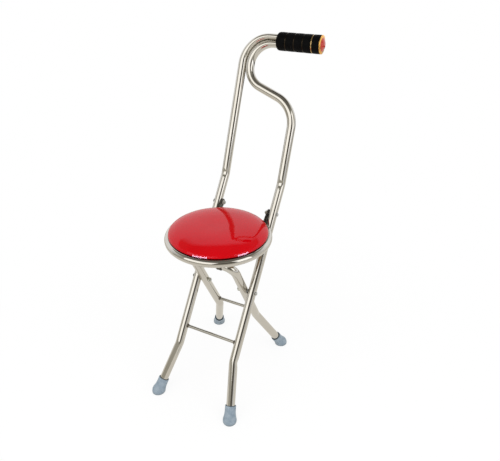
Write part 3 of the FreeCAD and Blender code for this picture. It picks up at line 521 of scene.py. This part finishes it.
direction = (REAR_BEND - REAR_FOOT).normalized()
right_side = [REAR_FOOT + direction * FOOT_GAP, REAR_BEND, HOOP_CORNER]
left_side = [on_side(point, -1) for point in reversed(right_side)]
hoop, end = begin_tube(right_side[0], direction, TUBE_RADIUS)
bend_radii = [HOOP_FOOT_RADIUS, HOOP_CORNER_RADIUS, HOOP_CORNER_RADIUS, HOOP_FOOT_RADIUS]
end, middles = follow(hoop, end, right_side + left_side, bend_radii)
for outward, centre, radius in (middles[0], middles[-1]):
    dent(hoop, centre + outward * (radius - TUBE_RADIUS), outward * DENT_DEPTH, DENT_REACH)
close_tube(hoop, end)
hoop_piece = make_piece(hoop, "bent_hoop", polished, "rear_legs")
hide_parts("rear_leg_hoop")

# %% [markdown]
# ## The seat ring and the rungs
# The ring is a round tube rolled to a circle, so an upright circle spun all the way round the seat's axis makes
# it. The rungs are thin drawn rods, duller than the tubes and welded between the legs. A weld leaves a small
# brown lumpy bead all round each end, which is one more circle, spun round the rod and pushed about by noise.

# %% Seat ring
ring_low, ring_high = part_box("seat_ring")
SEAT_X = (ring_low.x + ring_high.x) / 2
SEAT_Y = (ring_low.y + ring_high.y) / 2
RING_Z = (ring_low.z + ring_high.z) / 2
RING_TUBE = (ring_high.z - ring_low.z) / 2
RING_RADIUS = (ring_high.x - ring_low.x) / 2 - RING_TUBE
STANDING = Matrix.Rotation(pi / 2, 4, "X")
SAME_POINT = 1e-6

ring_mesh = bmesh.new()
bmesh.ops.create_circle(ring_mesh, cap_ends=False, segments=72, radius=RING_TUBE,
                        matrix=Matrix.Translation((RING_RADIUS, 0, 0)) @ STANDING)
bmesh.ops.spin(ring_mesh, geom=ring_mesh.verts[:] + ring_mesh.edges[:], cent=(0, 0, 0), axis=(0, 0, 1),
               angle=2 * pi, steps=200, use_merge=True, use_duplicate=False)
bmesh.ops.remove_doubles(ring_mesh, verts=ring_mesh.verts[:], dist=SAME_POINT)
bmesh.ops.translate(ring_mesh, verts=ring_mesh.verts[:], vec=(SEAT_X, SEAT_Y, RING_Z))
ring_piece = make_piece(ring_mesh, "rolled_ring", polished, "seat")
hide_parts("seat_ring")

# %% Weld steel and drawn rod
dull, brown_steel, where = start_finish("weld_steel", 0.4, 1.0)
tree = dull.node_tree
drift(tree, brown_steel, grain(tree, where, 340.0, 4.0), "Base Color", (0.35, (0.10, 0.085, 0.065)),
      (0.7, (0.33, 0.30, 0.26)))
drift(tree, brown_steel, grain(tree, where, 500.0, 3.0), "Roughness", (0.3, 0.25), (0.7, 0.55))
relief(tree, brown_steel, grain(tree, where, 700.0, 2.0), 0.0003, 0.6)

drawn, rod_steel, where = start_finish("drawn_rod", 0.16, 1.0)
tree = drawn.node_tree
drift(tree, rod_steel, grain(tree, where, 60.0, 3.0, (0.15, 1, 1)), "Base Color", (0.3, (0.40, 0.385, 0.35)),
      (0.7, (0.50, 0.485, 0.44)))
drift(tree, rod_steel, grain(tree, where, 200.0, 3.0, (0.1, 1, 1)), "Roughness", (0.3, 0.10), (0.7, 0.22))
print("drawn rod has", len(tree.nodes), "nodes")

# %% Rungs and their welds
RUNG_RADIUS = 0.004
ROD_BITE = 0.0008
BEAD_RADIUS = 0.0016
BEAD_INSET = 0.0010
BEAD_LIFT = 0.0002
LUMP_HEIGHT = 0.0005
LUMPS_PER_METRE = 420


def make_rung(node, tube_offset, name, body):
    """A rod between two tubes, its ends just inside their walls, with a weld bead at each end."""
    low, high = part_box(node)
    back = (low.y + high.y) / 2
    up = (low.z + high.z) / 2
    reach = tube_offset - TUBE_RADIUS + ROD_BITE
    rod, end = begin_tube(Vector((-reach, back, up)), ACROSS, RUNG_RADIUS, sides=28)
    close_tube(rod, draw_out(rod, end, ACROSS * reach * 2))
    piece = make_piece(rod, name, drawn, body)
    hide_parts(node)
    bead = bmesh.new()
    root = Vector((reach - BEAD_INSET, back, up))
    bead_place = Matrix.Translation(root + Vector((0, 0, RUNG_RADIUS + BEAD_LIFT))) @ STANDING
    bmesh.ops.create_circle(bead, cap_ends=False, segments=12, radius=BEAD_RADIUS, matrix=bead_place)
    bmesh.ops.spin(bead, geom=bead.verts[:] + bead.edges[:], cent=root, axis=ACROSS, angle=2 * pi, steps=36,
                   use_merge=True, use_duplicate=False)
    bmesh.ops.remove_doubles(bead, verts=bead.verts[:], dist=SAME_POINT)
    for corner in bead.verts:
        corner.co += (corner.co - root).normalized() * LUMP_HEIGHT * noise.noise(corner.co * LUMPS_PER_METRE)
    bmesh.ops.mirror(bead, geom=bead.verts[:] + bead.edges[:] + bead.faces[:], merge_dist=0.0, axis="X")
    make_piece(bead, name + "_welds", dull, body)


make_rung("front_rung", FOOT_BEND.x, "drawn_rung_front", "long_frame")
make_rung("rear_rung", REAR_BEND.x, "drawn_rung_rear", "rear_legs")

# %% [markdown]
# ## Plated fasteners, sheet and blackened steel
# Bolts, screws and washers are zinc plated: a blue-grey metal with dull freckles. The nuts have a yellowed,
# duller plating. The tabs and foot discs are cut from sheet and keep its rolling lines. The clips are blackened
# and have worn to brown steel where parts rub. The lugs are painted a dark brown-black: painted shade and a
# painted dark reflection for the shade they sit in beside the tubes. Each of these is two or three ramps over
# noise that is about as fine as the marks on the real metal.

# %% Plated steel
plated, zinc, where = start_finish("plated_fasteners", 0.3, 1.0)
tree = plated.node_tree
drift(tree, zinc, grain(tree, where, 260.0, 4.0), "Base Color", (0.35, (0.42, 0.43, 0.43)), (0.65, (0.66, 0.66, 0.64)))
drift(tree, zinc, grain(tree, where, 420.0, 3.0), "Roughness", (0.3, 0.2), (0.7, 0.42))
dress(plated, "seat_pivot_bolts", "seat_pivot_washers", "leg_pivot_bolts", "leg_pivot_washers", "board_tab_screws",
      "crossbar_clip_screws")

# %% Sheet steel
sheet, rolled, where = start_finish("rolled_sheet", 0.25, 1.0)
tree = sheet.node_tree
drift(tree, rolled, grain(tree, where, 120.0, 3.0, (1, 0.05, 1)), "Base Color", (0.3, (0.50, 0.48, 0.45)),
      (0.7, (0.63, 0.61, 0.57)))
drift(tree, rolled, grain(tree, where, 300.0, 3.0, (1, 0.04, 1)), "Roughness", (0.3, 0.14), (0.7, 0.32))
dress(sheet, "board_tabs", "foot_discs_front", "foot_discs_rear")

# %% Blackened steel
painted, black, where = start_finish("blackened_steel", 0.4, 0.6)
tree = painted.node_tree
wear = grain(tree, where, 150.0, 6.0)
drift(tree, black, wear, "Base Color", (0.50, (0.030, 0.028, 0.022)), (0.70, (0.16, 0.135, 0.10)))
drift(tree, black, wear, "Roughness", (0.4, 0.28), (0.7, 0.5))
relief(tree, black, grain(tree, where, 900.0, 2.0), 0.00004, 0.4)
dress(painted, "crossbar_clips")

# %% Lugs darkened with painted shade
lugs_painted_shade_finish, lugs, where = start_finish("lugs_with_painted_shade", 0.35, 0.85)
tree = lugs_painted_shade_finish.node_tree
# Painted shade: the dark base colour stands in for the shade and dark reflection the lugs sit in beside the tubes; the
# noise only varies its brown tone.
drift(tree, lugs, grain(tree, where, 180.0, 5.0), "Base Color", (0.40, (0.05, 0.045, 0.04)),
      (0.68, (0.20, 0.18, 0.15)))
drift(tree, lugs, grain(tree, where, 320.0, 3.0), "Roughness", (0.3, 0.25), (0.7, 0.45))
dress(lugs_painted_shade_finish, "seat_lug_left", "seat_lug_right")

# %% Yellowed zinc nuts
yellowed, nuts, where = start_finish("yellowed_zinc", 0.4, 0.35)
tree = yellowed.node_tree
drift(tree, nuts, grain(tree, where, 300.0, 4.0), "Base Color", (0.35, (0.44, 0.44, 0.37)), (0.65, (0.70, 0.70, 0.61)))
drift(tree, nuts, grain(tree, where, 420.0, 3.0), "Roughness", (0.3, 0.3), (0.7, 0.5))
dress(yellowed, "seat_pivot_nuts", "leg_pivot_nuts")

# %% [markdown]
# ## Rubber feet
# The feet are pale blue-grey moulded rubber. The skin is dull, a little mottled, and picks up a dusty scuff
# where it meets the ground. The scuff follows height above the floor, so it stays on each foot's sole.

# %% Grey rubber
rubber, feet, where = start_finish("grey_rubber", 0.5)
tree = rubber.node_tree
mottle = stepped(tree, grain(tree, where, 90.0, 5.0), (0.3, (0.25, 0.325, 0.395)), (0.72, (0.38, 0.455, 0.52)))
upward = joined(tree, "ShaderNodeSeparateXYZ", where).outputs["Z"]
dusty = maths(tree, "MULTIPLY", upward, 100.0)
scuff = stepped(tree, maths(tree, "ADD", dusty, maths(tree, "MULTIPLY", grain(tree, where, 160.0), 0.5)),
                (0.15, (0.62, 0.59, 0.55)), (0.75, (1.0, 1.0, 1.0)))
scuffed = joined(tree, "ShaderNodeMixRGB", 1.0, mottle, scuff, blend_type="MULTIPLY").outputs["Color"]
tree.links.new(scuffed, feet.inputs["Base Color"])
drift(tree, feet, grain(tree, where, 140.0, 4.0), "Roughness", (0.3, 0.36), (0.7, 0.55))
relief(tree, feet, grain(tree, where, 1400.0, 2.0), 0.00006, 0.35)
dress(rubber, "rubber_foot_front_left", "rubber_foot_front_right", "rubber_foot_rear_left", "rubber_foot_rear_right")

# %% [markdown]
# ## The seat board
# The cushion sits on a disc of plywood that drops inside the ring. Its face shows long grain along one way, so
# the noise is stretched hard along X. It is seen from below only, between the tabs and clips.

# %% Plywood
plywood, board, where = start_finish("plywood", 0.65)
tree = plywood.node_tree
fibre = grain(tree, where, 60.0, 6.0, (0.08, 1, 1))
drift(tree, board, fibre, "Base Color", (0.3, (0.36, 0.22, 0.11)), (0.55, (0.52, 0.35, 0.20)),
      (0.8, (0.62, 0.45, 0.28)))
drift(tree, board, fibre, "Roughness", (0.3, 0.55), (0.7, 0.75))
relief(tree, board, grain(tree, where, 240.0, 4.0, (0.05, 1, 1)), 0.00015, 0.6)
dress(plywood, "seat_board")

# %% [markdown]
# ## The red cover
# The cover is smooth glossy vinyl. It reflects the wall behind the stool and the two handle tubes, and its
# reflections waver slightly because foam is never perfectly flat. A low sharp gloss with a broad shallow
# relief gives the waver; a fine grain breaks the highlights up a little. Where the cover tucks against the ring,
# shade is painted in: over its lowest millimetres both its colour and its gloss are turned down as painted shade.

# %% Red vinyl
CREASE_SHADE_HEIGHT = 0.0034

vinyl, cover, where = start_finish("red_vinyl", 0.1)
tree = vinyl.node_tree
pad_low, pad_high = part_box("seat_cushion")
above_board = maths(tree, "SUBTRACT", joined(tree, "ShaderNodeSeparateXYZ", where).outputs["Z"], pad_low.z)
# Painted shade: this share turns the red and the gloss down over the lowest millimetres, where the cover tucks against
# the ring.
lit_share = stepped(tree, maths(tree, "DIVIDE", above_board, CREASE_SHADE_HEIGHT), (0.48, 0.05), (1.0, 1.0))
red = stepped(tree, grain(tree, where, 14.0, 3.0), (0.3, (0.59, 0.0015, 0.004)), (0.7, (0.65, 0.002, 0.006)))
red_with_painted_crease_shade = joined(tree, "ShaderNodeMixRGB", 1.0, red, lit_share, blend_type="MULTIPLY").outputs["Color"]
tree.links.new(red_with_painted_crease_shade, cover.inputs["Base Color"])
tree.links.new(maths(tree, "MULTIPLY", lit_share, 0.5), cover.inputs["Specular IOR Level"])
drift(tree, cover, grain(tree, where, 90.0, 5.0), "Roughness", (0.35, 0.03), (0.75, 0.07))
wavy = relief(tree, cover, grain(tree, where, 26.0, 1.0), 0.0006, 0.35)
relief(tree, cover, grain(tree, where, 1500.0, 2.0), 0.00002, 0.3, under=wavy)
cover.inputs["IOR"].default_value = 1.37
cover.inputs["Specular Tint"].default_value = (0.85, 0.72, 1.0, 1.0)
print("red vinyl has", len(tree.nodes), "nodes")


# %% [markdown]
# ## The cushion
# Foam under a stretched cover is flat in the middle and rolls over ever faster towards its rim, where the cover
# is pulled down over the board. Its half-section is a chain of arcs, each made by swinging one point round a
# centre, and the section is then spun round the seat's axis. A carved shape looks stiff, so the pad is drawn a
# little too small, held by its underside, and blown up as cloth for a moment. The travel is capped so that it
# stays a tight seat, not a balloon. A taut cover has no ripples, so most of each point's travel is the mean of
# its belt round the seat, and the result is smoothed.

# %% Lathe helpers
def swing(mesh, point, centre, degrees, steps):
    """Carries one point round a centre in the XZ plane, leaving an arc of edges; returns its last point."""
    made = bmesh.ops.spin(mesh, geom=[point], cent=centre, axis=(0, 1, 0), angle=radians(degrees), steps=steps,
                          use_duplicate=False)
    return [part for part in made["geom_last"] if isinstance(part, bmesh.types.BMVert)][0]


def run(mesh, point, x, z, cuts=0):
    """A straight line in the section from a point to (x, z), split into equal parts."""
    end = mesh.verts.new((x, 0, z))
    edge = mesh.edges.new((point, end))
    if cuts:
        bmesh.ops.subdivide_edges(mesh, edges=[edge], cuts=cuts)
    return end


def lathe(mesh, steps):
    """Spins the drawn section about Z into a closed shape."""
    bmesh.ops.spin(mesh, geom=mesh.verts[:] + mesh.edges[:], cent=(0, 0, 0), axis=(0, 0, 1), angle=2 * pi,
                   steps=steps, use_merge=True, use_duplicate=False)
    bmesh.ops.remove_doubles(mesh, verts=mesh.verts[:], dist=SAME_POINT)


# %% Cushion blank
MOST_TRAVEL = 0.0020
HELD_BELOW = pad_low.z + 0.0005
PAD_TOP = pad_high.z - pad_low.z - MOST_TRAVEL
ROLL = [  # radius, degrees and steps of each arc, from the middle of the top to the underside
    (2.29, 1.0, 10), (0.448, 3.2, 8), (0.2157, 6.7, 9), (0.1398, 8.5, 8), (0.0788, 2.8, 2),
    (0.01206, 67.8, 14), (0.0012, 45.0, 3)]

pad = bmesh.new()
edge = pad.verts.new((0, 0, PAD_TOP))
tilt = 0.0
for radius, turn, steps in ROLL:
    centre = edge.co - radius * Vector((sin(radians(tilt)), 0, cos(radians(tilt))))
    edge = swing(pad, edge, centre, turn, steps)
    tilt += turn
    print("tilt", round(tilt, 1), "at", round(edge.co.x * 1000, 1), round(edge.co.z * 1000, 1))
run(pad, edge, 0, edge.co.z, cuts=12)
lathe(pad, steps=144)
bmesh.ops.translate(pad, verts=pad.verts[:], vec=(SEAT_X, SEAT_Y, pad_low.z))
cushion = make_piece(pad, "stuffed_cushion", vinyl, "seat")


# %% Blow the cushion up
CLOTH_FRAMES = 20


def blow_up(piece, held_below):
    """Runs a short cloth simulation with inner pressure; returns the points before and after it."""
    before = [v.co.copy() for v in piece.data.vertices]
    held = piece.vertex_groups.new(name="held")
    held.add([i for i, co in enumerate(before) if co.z < held_below], 1.0, "REPLACE")
    cloth = piece.modifiers.new("cloth", "CLOTH").settings
    cloth.vertex_group_mass = "held"
    cloth.quality = 6
    cloth.mass = 0.3
    cloth.tension_stiffness = 20
    cloth.bending_stiffness = 3
    cloth.use_pressure = True
    cloth.uniform_pressure_force = 4
    cloth.effector_weights.gravity = 0
    for step in range(1, CLOTH_FRAMES + 1):
        bpy.context.scene.frame_set(step)
    grown = piece.evaluated_get(bpy.context.evaluated_depsgraph_get())
    after = [v.co.copy() for v in grown.data.vertices]
    piece.modifiers.clear()
    piece.vertex_groups.clear()
    bpy.context.scene.frame_set(1)
    print("largest travel", round(max((a - b).length for a, b in zip(after, before)) * 1000, 2), "mm")
    return before, after


# %% Even the travel out
OWN_SHARE = 0.15


def belt_of(point):
    """Names the belt round the seat that a point lies on, and gives its way out from the middle."""
    out = (point - Vector((SEAT_X, SEAT_Y, 0))).to_2d()
    return (round(out.length, 4), round(point.z, 4)), out


def take_travel(piece, before, after, most):
    """Moves each point by its belt's mean travel and a small share of its own, and no further than most."""
    belts = {}
    for old, new in zip(before, after):
        belt, out = belt_of(old)
        outwards = (new - old).to_2d().dot(out.normalized()) if out.length > SAME_POINT else 0.0
        belts.setdefault(belt, []).append((outwards, new.z - old.z))
    means = {belt: [sum(part) / len(part) for part in zip(*travels)] for belt, travels in belts.items()}
    for vertex, old, new in zip(piece.data.vertices, before, after):
        belt, out = belt_of(old)
        outwards, upwards = means[belt]
        even = Vector((0, 0, upwards))
        if out.length > SAME_POINT:
            even += (out.normalized() * outwards).to_3d()
        move = even.lerp(new - old, OWN_SHARE)
        vertex.co = old + move * min(1.0, most / max(move.length, 1e-9))
    print("cushion has", len(belts), "belts")


def soften(piece, held_below, rounds=5):
    """Smooths every point that isn't held."""
    worked = bmesh.new()
    worked.from_mesh(piece.data)
    free = [corner for corner in worked.verts if corner.co.z > held_below]
    for _ in range(rounds):
        bmesh.ops.smooth_vert(worked, verts=free, factor=0.5, use_axis_x=True, use_axis_y=True, use_axis_z=True)
    worked.to_mesh(piece.data)
    worked.free()


blank, blown = blow_up(cushion, HELD_BELOW)
take_travel(cushion, blank, blown, MOST_TRAVEL)
soften(cushion, HELD_BELOW)
print("cushion stands", round(cushion.dimensions.z * 1000, 1), "mm high")

# %% Finish the cushion and aim its two lamps
finer = cushion.modifiers.new("finer", "SUBSURF")
finer.levels = 1
finer.render_levels = 1
cover_only = bpy.data.collections.new("cover_only")
cover_only.objects.link(cushion)
for kicker in kickers:
    kicker.visible_diffuse = False
    kicker.light_linking.receiver_collection = cover_only
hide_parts("seat_cushion")

# %% [markdown]
# ## The grip
# The hand grip is a black moulded sleeve: soft swells between narrow metal bands. The bands are one gold, but
# the last band, near the lens, is painted bright as a painted highlight, and the others are painted near black as
# painted shade. The swells are turned on the lathe as one long section, and the sleeve is
# then laid along X on the grip's own axis, in place of the plain one.

# %% Grip finish
moulded, skin, where = start_finish("black_grip", 0.6)
tree = moulded.node_tree
drift(tree, skin, grain(tree, where, 120.0, 5.0), "Base Color", (0.3, (0.0010, 0.0010, 0.0012)),
      (0.75, (0.0030, 0.0030, 0.0036)))
drift(tree, skin, grain(tree, where, 260.0, 4.0), "Roughness", (0.3, 0.5), (0.7, 0.75))
relief(tree, skin, grain(tree, where, 1100.0, 3.0), 0.00015, 0.5)
skin.inputs["Specular IOR Level"].default_value = 0.07
print("black grip has", len(tree.nodes), "nodes")

# %% Grip sleeve
grip_low, grip_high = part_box("grip_sleeve")
band_low, band_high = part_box("grip_bands")
GRIP_LENGTH = grip_high.x - grip_low.x
GRIP_RADIUS = 0.022
GRIP_REACH = 0.3475
END_ROUND = 0.007
BAND_START = band_low.x - grip_low.x
BAND_WIDTH = 0.0022
BAND_COUNT = 4
BAND_PITCH = (band_high.x - band_low.x - BAND_WIDTH) / (BAND_COUNT - 1)
GROOVE_DEPTH = 0.001
SWELL = 0.0002
FLAT = GRIP_RADIUS - SWELL
SHARP_EDGE = radians(50)


def swell(mesh, point, reach):
    """A shallow bulge along the sleeve: an arc that leaves a point and comes back to its radius."""
    bow = (reach * reach / 4 + SWELL * SWELL) / (2 * SWELL)
    half = reach / 2 / bow
    centre = point.co + Vector((-bow * cos(half), 0, bow * sin(half)))
    return swing(mesh, point, centre, -2 * half * 180 / pi, steps=8)


sleeve = bmesh.new()
edge = run(sleeve, sleeve.verts.new((0, 0, 0)), FLAT - END_ROUND, 0)
edge = swing(sleeve, edge, (FLAT - END_ROUND, 0, END_ROUND), -90, steps=10)
for index in range(BAND_COUNT):
    start = BAND_START + BAND_PITCH * index
    if index == 0:
        edge = swell(sleeve, edge, start - END_ROUND)
    edge = run(sleeve, edge, FLAT - GROOVE_DEPTH, start)
    edge = run(sleeve, edge, FLAT - GROOVE_DEPTH, start + BAND_WIDTH)
    edge = run(sleeve, edge, FLAT, start + BAND_WIDTH)
    last = index == BAND_COUNT - 1
    edge = swell(sleeve, edge, GRIP_LENGTH - start - BAND_WIDTH if last else BAND_PITCH - BAND_WIDTH)
run(sleeve, edge, 0, GRIP_LENGTH)
lathe(sleeve, steps=96)
grip_axis = upper_point(0, GRIP_REACH)
laid = Matrix.Translation((grip_low.x, grip_axis.y, grip_axis.z)) @ Matrix.Rotation(pi / 2, 4, "Y")
bmesh.ops.transform(sleeve, matrix=laid, verts=sleeve.verts[:])
creases = [seam for seam in sleeve.edges if seam.is_manifold and seam.calc_face_angle() > SHARP_EDGE]
bmesh.ops.split_edges(sleeve, edges=creases)
sleeve_piece = make_piece(sleeve, "moulded_sleeve", moulded, "long_frame")
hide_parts("grip_sleeve")

# %% Gold bands
banded, gold, where = start_finish("gold_bands", 0.3, 1.0)
tree = banded.node_tree
past_first = maths(tree, "SUBTRACT", joined(tree, "ShaderNodeSeparateXYZ", where).outputs["X"], band_low.x)
# Painted highlight and painted shade: the gold turns bright only near the end of the bands' span, so the last band
# shines and the three before it are painted near black.
bright = stepped(tree, maths(tree, "DIVIDE", past_first, band_high.x - band_low.x),
                 (0.84, (0.045, 0.033, 0.022)), (0.90, (0.72, 0.50, 0.22)))
tarnish = stepped(tree, grain(tree, where, 200.0, 5.0), (0.35, 0.45), (0.65, 1.0))
band_painted_light_and_tarnish = joined(tree, "ShaderNodeMixRGB", 1.0, bright, tarnish, blend_type="MULTIPLY").outputs["Color"]
tree.links.new(band_painted_light_and_tarnish, gold.inputs["Base Color"])
drift(tree, gold, grain(tree, where, 320.0, 3.0), "Roughness", (0.3, 0.2), (0.7, 0.42))
dress(banded, "grip_bands")

# %% [markdown]
# ## The end lens
# The grip ends in a red reflector behind a gold rim, so a walker is seen at dusk. The plastic is moulded in small
# cells, each with a lighter heart and a deep red edge, so a cell pattern gives both its colour and its relief,
# under a clear coat. The rim is a warm orange gold.

# %% Gold rim
rim, ring_gold, where = start_finish("orange_gold_rim", 0.25, 1.0)
tree = rim.node_tree
drift(tree, ring_gold, grain(tree, where, 140.0, 4.0), "Base Color", (0.3, (0.95, 0.42, 0.07)),
      (0.7, (1.0, 0.62, 0.18)))
drift(tree, ring_gold, grain(tree, where, 300.0, 3.0), "Roughness", (0.3, 0.18), (0.7, 0.38))
dress(rim, "grip_bezel")

# %% Red lens
lens_red, lens, where = start_finish("red_lens", 0.12)
tree = lens_red.node_tree
cells = joined(tree, "ShaderNodeTexVoronoi")
tree.links.new(where, cells.inputs["Vector"])
cells.inputs["Scale"].default_value = 420.0
drift(tree, lens, cells.outputs["Distance"], "Base Color", (0.0, (0.85, 0.16, 0.08)),
      (0.50, (0.50, 0.020, 0.015)))
drift(tree, lens, grain(tree, where, 200.0, 3.0), "Roughness", (0.3, 0.08), (0.7, 0.2))
relief(tree, lens, cells.outputs["Distance"], 0.0004, 0.4)
lens.inputs["Coat Weight"].default_value = 0.5
dress(lens_red, "grip_end_lens")
